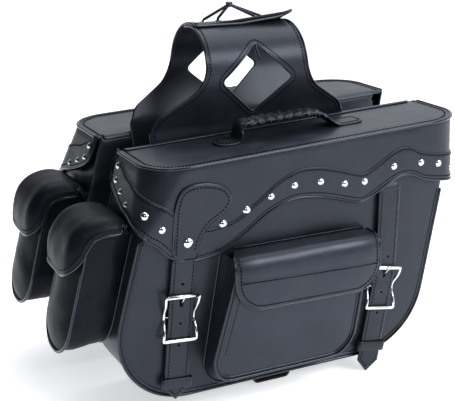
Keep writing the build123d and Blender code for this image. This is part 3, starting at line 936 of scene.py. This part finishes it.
def make_front_pocket():
    face = upright(POCKET_DEPTH)
    outline = np.vstack([POCKET_FACE, level(-137, 96, -96, 24)])
    shell = [plate(face, outline[::-1], POCKET_WALL, puff=3.0, width=55, roll=1.5, spacing=7,
                   relief=creases(0.4, 24, 20))]
    shell.append(plate(ruled(POCKET_BASE, POCKET_FACE, 164.6, 200.5), gusset_strip(POCKET_BASE, 70), 2.2,
                       base=-2.2, roll=0.8, spacing=9, relief=gusset_relief(0.8, 17, -2.0)))
    fold = smooth_curve([(164.3, -134), (165.5, -126), (168, -123.5), (172.6, -123.2)])
    shell.append(plate(turned(profile_surface(fold, crosswise)), box(-90, 0, 115, 12, lines=12), 1.4,
                       base=-0.7, roll=0.5))
    solid("front_pocket", merged(shell), "bag", "pocket_leather")
    trim("front_pocket_piping", "bag", pipe(upright(202.3), offset(POCKET_FACE, -0.6), 0, 2.1),
         pipe(upright(165.4), offset(POCKET_BASE, -0.8), 0, 1.7))
    trim("front_pocket_welt", "bag", pipe(face, offset(POCKET_FACE, 4.4), 2.9, 1.4))
    sew("bag", face, offset(POCKET_FACE, 13)[6:24], 3.9, pitch=4.0, length=2.5, width=0.7)
    t = lengths(FLAP_PROFILE)[-1]
    corners = [(-93, 0, 0), (-107, 24, 16), (-107, t - 4, 42), (119, t, 42), (119, 24, 16), (115, 0, 0)]
    soft = creases(0.35, 19, 15)

    def relief(uv, d):
        """Creases, a groove along the seam across the flap, and a thinner root."""
        seam = ridge(uv[:, 1] - 57.4 - 0.0285 * (uv[:, 0] + 99) + 3, 2.2)
        return soft(uv, d) - 0.9 * seam - 1.4 * np.clip((26 - uv[:, 1]) / 8, 0, 1)

    make_flap("front", "pocket_flap", "pocket_leather", pocket_flap_surface, corners, 20, 2.1, (24, 2.9),
              base=-1.2, puff=1.6, width=26, roll=1.3, spacing=4, relief=relief)
    sew("pocket_flap", pocket_flap_surface, [(-99, 58), (6, 61), (112, 64)], 3.5)


def make_end_pocket():
    outline = np.vstack([END_FACE, level(-91, 130, 55, 12)])
    shell = [plate(end_surface(END_REACH), outline, WALL, puff=13, width=42, roll=2,
                   relief=creases(1.5, 15, 18))]

    def place(p, height):
        return columns(body_left(p[:, 1]) - height, p[:, 0], p[:, 1])

    base = END_FACE + (0, 3)
    shell.append(plate(ruled(base, END_FACE, 0.0, END_REACH + WALL, place), gusset_strip(base, 50), 2.4,
                       base=-2.4, roll=0.8, spacing=8, relief=gusset_relief(1.4, 13, 2.0)))
    fold = smooth_curve([(4.2, -86), (4.8, -80), (8, -75.6), (13, -74.7), (20, -74.5)])
    reach = lengths(fold)[-1]
    tab = rounded([(32, 0, 0), (150, 0, 0), (150, reach, 3), (32, reach, 3)], lines=16)
    root = raised(turned(profile_surface(fold, end_flap_place)), end_flap_drop)
    shell.append(plate(root, tab, 1.6, base=-4.2, roll=0.5, spacing=5))
    solid("end_pocket", merged(shell), "bag", "end_leather_painted_shade")
    trim("end_pocket_piping", "bag", pipe(end_surface(END_REACH + 4), offset(END_FACE, -0.8), 0, 2.2),
         pipe(end_surface(2), offset(base, -1.0), 0, 1.8))
    t = lengths(END_FLAP)[-1]
    corners = [(45, 0, 0), (32, 5, 4), (30, t, 36), (152, t, 46), (150, 5, 4), (137, 0, 0)]
    make_flap("end", "end_flap", "end_leather_painted_shade", end_flap_surface, corners, 16, 2.2, (-math.inf, 3.4),
              base=-1.0, puff=4, roll=1.5, spacing=5, relief=creases(0.9, 14, 12))


def make_lid_hinge(side, name):
    """Leather strip that joins the bag's back to the lid's back edge."""
    fold = smooth_curve([(40.6, -27), (40.6, -18), (40.7, -8), (41.2, -2.5), (43.4, 0.6), (47, 1.0),
                         (51, 1.0)], 6)
    surface = turned(profile_surface(fold, lambda u, p: columns(u, p[:, 0], lid_z(u) + p[:, 1])))
    t = lengths(fold)[-1]
    outline = rounded([(-192, 0, 4), (254, 0, 4), (272, t, 4), (-198, t, 4)], lines=70)
    bodies = (f"{name}_bag", f"{name}_lid")
    low, high = to_world([(0, 40.6, -6), (0, 44, LID_DATUM + 1)], side)
    strip = plate(surface, outline[::-1], 1.6, base=-0.6, roll=0.7, spacing=5)
    build(f"{name}_lid_hinge_strip", strip, side, None, "lid_leather",
          blended=(*bodies, tuple(low), tuple(high)))
    row = stitch_run(surface, [(-188, t - 4), (262, t - 4)], 0.6)
    build(f"{name}_lid_hinge_thread", row, side, f"{name}_lid", "thread")


# ---- handle and tie loop ----
def make_handle():
    """Crumpled leather grip: a flat section swept along its side view, thick where it is held."""
    path = smooth_curve([(-87, 1.9), (-72, 1.9), (-58, 2.0), (-53, 5), (-50.5, 12), (-49, 20), (-44, 24.5),
                         (-30, 24.6), (0, 25.2), (40, 25), (66, 23.4), (82, 18), (94, 8.5), (104, 2.6),
                         (118, 1.9), (135, 1.9), (150, 1.9)], 10)
    path = resample(path, 2.0)
    s = lengths(path)
    grip = np.clip((path[:, 1] - 10) / 12, 0, 1)
    foot = np.minimum(s, s[-1] - s)
    taper = np.sqrt(1 - (1 - np.clip(foot / 17, 0, 1)) ** 2)
    slopes = np.gradient(path, axis=0)
    angle = full_turn(28)
    c, q = np.cos(angle), np.sin(angle)
    rows = []
    for i, (x, h) in enumerate(path):
        ruffle = grip[i] * (1.1 * math.sin(s[i] * 0.48) + 1.2 * math.sin(s[i] * 1.13 + 1)
                            + 0.6 * math.sin(s[i] * 2.1))
        width = max(2.0, 17.8 * taper[i]) - 3.4 * grip[i] + 0.9 * ruffle
        thick = 1.6 + grip[i] * (1.7 + 0.5 * ruffle)
        slope = math.atan2(slopes[i][1], slopes[i][0])
        across = np.sign(c) * np.abs(c) ** 0.5 * width
        height = np.sign(q) * np.abs(q) ** 0.7 * thick
        height = height + grip[i] * (1.1 * np.sin(across * 0.55 + s[i] * 0.42)
                                     + 0.6 * np.sin(across * 0.9 - s[i] * 0.8))
        px = x - height * math.sin(slope)
        pz = h + height * math.cos(slope) + lid_z(px) - 0.2
        rows.append(columns(px, HANDLE_DEPTH + across, pz))
    solid("handle", loft(rows), "lid", "handle_leather")
    for toe, heel in ((-80, -56), (143, 106)):
        tab = rounded([(heel, 83, 0), (toe, 83, 9), (toe, 109, 9), (heel, 109, 0)], closed=False, lines=8)
        sew("lid", lid_surface(0), tab, 3.6, pitch=4.6, length=3.2)


def make_tie_loop():
    """Webbing loop under the bag."""
    band = box(-47, -348.5, 13, -326, 8, lines=8, arcs=6)
    loops = []
    for d, grow in ((118.5, 0), (118.5, 2.4), (124, 2.9), (137, 2.9), (142.5, 2.4), (142.5, 0)):
        out = offset(band, grow, closed=True)
        loops.append(columns(out[:, 0], np.full(len(out), d), out[:, 1]))
    solid("tie_loop", loft(loops, closed=True), "bag", "webbing")


# ---- yoke ----
YOKE_FLARE, YOKE_HALF = 74.0, 77.0
ARCH_CENTRE, FOOT_DEPTH, FOOT_Z, KNEE_Z, FLANGE_LOW = 90.4, 36.4, 16.0, 70.0, -58.0


def yoke_profile(radius, overlap):
    """(d, z) from the flange's low edge, up the web and over the arch."""
    knee = math.sqrt(radius**2 - (ARCH_CENTRE - KNEE_Z) ** 2)
    start = math.atan2(KNEE_Z - ARCH_CENTRE, knee)
    arc = [(radius * math.cos(a), ARCH_CENTRE + radius * math.sin(a))
           for a in np.linspace(start, math.pi / 2 + math.radians(overlap), 60)]
    foot = [(FOOT_DEPTH, z) for z in np.linspace(FLANGE_LOW, FOOT_Z - 7, 12)]
    bend = smooth_curve([(FOOT_DEPTH, FOOT_Z - 7), (FOOT_DEPTH + 0.5, FOOT_Z),
                         (FOOT_DEPTH + 3.6, FOOT_Z + 9)], 4)[1:]
    web = [(FOOT_DEPTH + (knee - FOOT_DEPTH) * t, FOOT_Z + (KNEE_Z - FOOT_Z) * t)
           for t in np.linspace(0.22, 0.98, 14)]
    return np.vstack([foot, bend, web, arc])


def make_yoke(side, name, radius, overlap, curl, rear_flare_z, rear_tip):
    """One half of the yoke; curl lifts its rear end off the other half."""
    profile = yoke_profile(radius, overlap)
    t = lengths(profile)
    apex, last = int(np.argmax(profile[:, 1])), t[-1]

    def t_of(z):
        return np.interp(z, profile[:apex, 1], t[:apex])

    flanks = []
    for flare_z in (rear_flare_z, YOKE_FLARE):
        edge = rounded([(148, FLANGE_LOW, 0), (156, 10, 10), (146, 32, 25), (80, flare_z, 55),
                        (YOKE_HALF, 150, 0)], closed=False, lines=14, arcs=10)
        run = np.linspace(t_of(150.0), last, 14)[1:]
        flanks.append(np.vstack([columns(edge[:, 0], t_of(edge[:, 1])),
                                 columns(np.full(len(run), YOKE_HALF), run)]))
    outline = np.vstack([flanks[0], flanks[1][::-1] * (-1, 1)])
    outline = np.vstack([outline, level(0, -140, 140, 30)])
    tips = rounded([(0, 129, 7), (rear_tip, 79, 7), (0, 29, 7), (-58, 79, 7)], lines=12, arcs=5)
    hole = columns(tips[:, 0], t_of(tips[:, 1]))

    def lifted_corner(u, v):
        near_end = np.clip(1 - (last - v) / 36, 0, 1.1)
        tip = np.clip((u - 48) / 29, 0, 1.1) ** 2
        return curl * near_end**2 * np.clip((u + 5) / 75, 0, 1.1) + curl * 0.8 * near_end * tip

    surface = raised(profile_surface(profile, crosswise), lifted_corner)
    half = plate(surface, outline, WALL, base=-WALL / 2, holes=[hole])
    high, low = to_world([(0, 36.2, FOOT_Z + 5), (0, 36.2, FOOT_Z - 6)], side)
    where = ("yoke", f"{name}_bag", tuple(high), tuple(low))
    build(f"{name}_yoke_leather", half, side, None, "yoke_leather",
          [f"{name}_yoke", f"{name}_yoke_flange"], where)
    rear, front = [flank[flank[:, 1] > t_of(FLANGE_LOW + 4)] for flank in flanks]
    rails = [pipe(surface, rear, 1.0, 1.9), pipe(surface, front * (-1, 1), 1.0, 1.9),
             pipe(surface, hole, 1.2, 1.6, closed=True),
             pipe(surface, level(last, -YOKE_HALF, YOKE_HALF, 30), 0.4, 2.4),
             pipe(surface, level(last - 4.6, -74, 74, 30), 1.8, 2.0)]
    build(f"{name}_yoke_piping", merged(rails), side, None, "piping", (), where)
    rows = (offset(rear, 5.5), offset(front, 5.5) * (-1, 1), close(offset(hole, 6.0, closed=True)),
            [(-70, last - 9), (70, last - 9)])
    thread = merged([stitch_run(surface, row, 1.9) for row in rows])
    build(f"{name}_yoke_thread", thread, side, None, "thread", (), where)


# ---- lace ----
LACE_RADIUS = 2.0


def add_lace(name, points, replaced=None):
    """Round lace along the points, on the yoke."""
    curve = bpy.data.curves.new(name, "CURVE")
    curve.dimensions = "3D"
    spline = curve.splines.new("NURBS")
    spline.points.add(len(points) - 1)
    for slot, p in zip(spline.points, to_world(points, 1)):
        slot.co = (*p, 1)
    spline.order_u = 3
    spline.use_endpoint_u = True
    curve.bevel_depth = LACE_RADIUS / 1000
    curve.bevel_resolution = 4
    curve.use_fill_caps = True
    curve.resolution_u = 10
    curve.materials.append(MATERIALS["lace_leather"])
    lace = add_object(name, curve)
    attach(lace, "yoke")
    if replaced:
        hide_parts(replaced)
    return lace


def arch_point(x, angle, radius):
    a = math.radians(angle)
    return np.array([x, radius * math.sin(a), ARCH_CENTRE + radius * math.cos(a)])


KNOT = np.array([-16.0, 0.0, 178.0])
EYELET_RADIUS = 59.6 + 3.4 + 1.5  # the near half's arch, the step to the far half's, half a wall
EYELETS = [(-48, 17), (-30, 7), (30, 7), (48, 17)]


def make_lace():
    """Four strands from the eyelets to a wound knot, and a short end that hangs inside the arch."""
    for i, (x, angle) in enumerate(EYELETS):
        under = arch_point(x, angle, EYELET_RADIUS - 9)
        bend = arch_point(x, angle, EYELET_RADIUS + 3.5)
        end = KNOT + (bend - KNOT) / np.linalg.norm(bend - KNOT) * 3.0
        add_lace(f"lace_strand_{i + 1}", [under, (under + bend) / 2, bend, bend + (end - bend) * 0.15, end],
                 "lace" if i == 0 else None)
    start = arch_point(*EYELETS[2], EYELET_RADIUS - 9) - (0, 0, 0.5)
    tail = add_lace("lace_end", [start, start - (1, 0, 18), start + (3, 5, -36), start + (12, 7, -51)],
                    "lace_tail")
    turn = np.linspace(0, 2 * math.pi * 3, 90)
    knot = columns(2.7 * np.cos(turn) * (1 + 0.2 * np.sin(turn * 0.67)), 2.7 * np.sin(turn),
                   1.9 * np.sin(turn * 0.667))
    build("lace_knot_wound", sweep(knot + KNOT, 1.9, sides=10), 1, "yoke", "lace_leather", ["lace_knot"])


# ---- put it together ----
add_camera()
make_body()
make_lid()
make_strap_base()
make_rear_strap_root()
for strap_end, strap_facts in STRAPS.items():
    make_strap(strap_end, strap_facts)
make_front_pocket()
make_end_pocket()
make_handle()
make_tie_loop()
for sign, side_name in ((-1, "left"), (1, "right")):
    for piece_name, part, body_name, finish_name, cad_node in pieces:
        ending, nodes = ("_piece", [f"{side_name}_{cad_node}"]) if cad_node else ("", [])
        made = build(f"{side_name}_{piece_name}{ending}", part, sign, f"{side_name}_{body_name}", finish_name,
                     nodes)
        if piece_name == "handle":
            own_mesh(made)
    for body_name, runs in threads.items():
        build(f"{side_name}_{body_name}_thread", merged(runs), sign, f"{side_name}_{body_name}", "thread")
make_lid_hinge(-1, "left")
make_lid_hinge(1, "right")
make_yoke(-1, "left", 59.6, 20, 0, 74, 58)
make_yoke(1, "right", 63.0, 13, 8, 92, 64)
make_lace()

for node_name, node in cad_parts.items():
    if not node.hide_render:
        kind = "snap_metal" if "snap" in node_name else "chrome"
        node.data.materials.clear()
        node.data.materials.append(MATERIALS[kind])

floor_mesh = bpy.data.meshes.new("floor")
floor_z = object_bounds()[0][2] - 0.0005
floor_mesh.from_pydata([(-8, -8, floor_z), (8, -8, floor_z), (8, 8, floor_z), (-8, 8, floor_z)], [],
                       [(0, 1, 2, 3)])
floor_mesh.materials.append(studio_material("floor", 0.93, 0.9, 0.6))
add_object("floor", floor_mesh)

wall_mesh = bpy.data.meshes.new("backdrop")
WALL_RADIUS, WALL_TOP, WALL_SIDES = 7.9, 6.0, 48
wall_rings = [(WALL_RADIUS * math.cos(a), WALL_RADIUS * math.sin(a), z)
              for z in (floor_z - 0.01, WALL_TOP) for a in full_turn(WALL_SIDES)]
wall_mesh.from_pydata(wall_rings, [], ring_faces(2, WALL_SIDES))
wall_mesh.materials.append(studio_material("backdrop", 0.9, 0.5, 0.85))
backdrop = add_object("backdrop", wall_mesh)
backdrop.visible_glossy = backdrop.visible_diffuse = backdrop.visible_shadow = False

# light comes mostly from the rear and the right, so the front ends stay dark
world = bpy.data.worlds.new("studio")
sky = Graph(world)
towards = sky.nodes.new("ShaderNodeVectorMath")
towards.operation = "DOT_PRODUCT"
facing = sky.fill(towards, {0: sky.coords["Generated"], 1: Vector((0.75, 0.25, 0.15)).normalized()})["Value"]
sky.fill(sky.nodes["Background"], {"Color": (0.94, 0.97, 1.0, 1),
                                   "Strength": sky.ramp(facing, 0.03, 0.95, -0.35, 0.8)})
bpy.context.scene.world = world
bpy.context.scene.view_settings.view_transform = "Standard"
add_light("key", (1.1, -1.9, 1.2), (1.3, 1.0), 46, (0.96, 0.98, 1.0))
add_light("fill", (-1.2, -1.6, 1.2), (0.5, 0.5), 4, (0.9, 0.95, 1.0))
add_light("top", (0.6, 0.6, 2.2), (3.0, 2.2), 50, (0.96, 0.98, 1.0))
